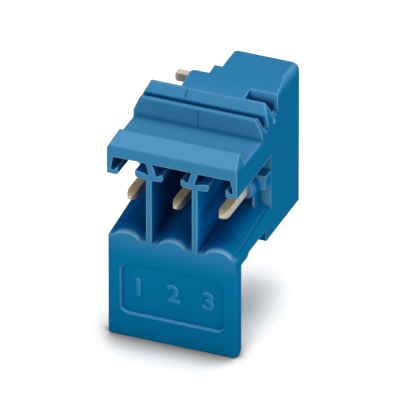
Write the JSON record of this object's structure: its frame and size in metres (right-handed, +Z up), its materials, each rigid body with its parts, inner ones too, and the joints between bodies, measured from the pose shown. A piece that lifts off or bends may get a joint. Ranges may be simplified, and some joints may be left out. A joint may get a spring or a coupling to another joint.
{
  "type": "pluggable terminal block header",
  "caption": "Right-angle board header with open plug chambers, bosses round the pins and side-exit solder tails for an upright circuit board.",
  "frame": {"origin": "middle contact's plane in X, half depth in Y, lower edge of the front panel in Z", "axes": "+X to the right along the contact row, +Y back from the mating face, +Z up; the solder tails leave along -X"},
  "size_m": [0.01, 0.012, 0.0178],
  "materials": {
    "housing_plastic": "moulded blue polyamide, satin",
    "contact_metal": "tin-plated brass, dull"
  },
  "bodies": {
    "root": {"housing": "housing_plastic", "contact_left": "contact_metal", "contact_middle": "contact_metal", "contact_right": "contact_metal"}
  },
  "joints": []
}
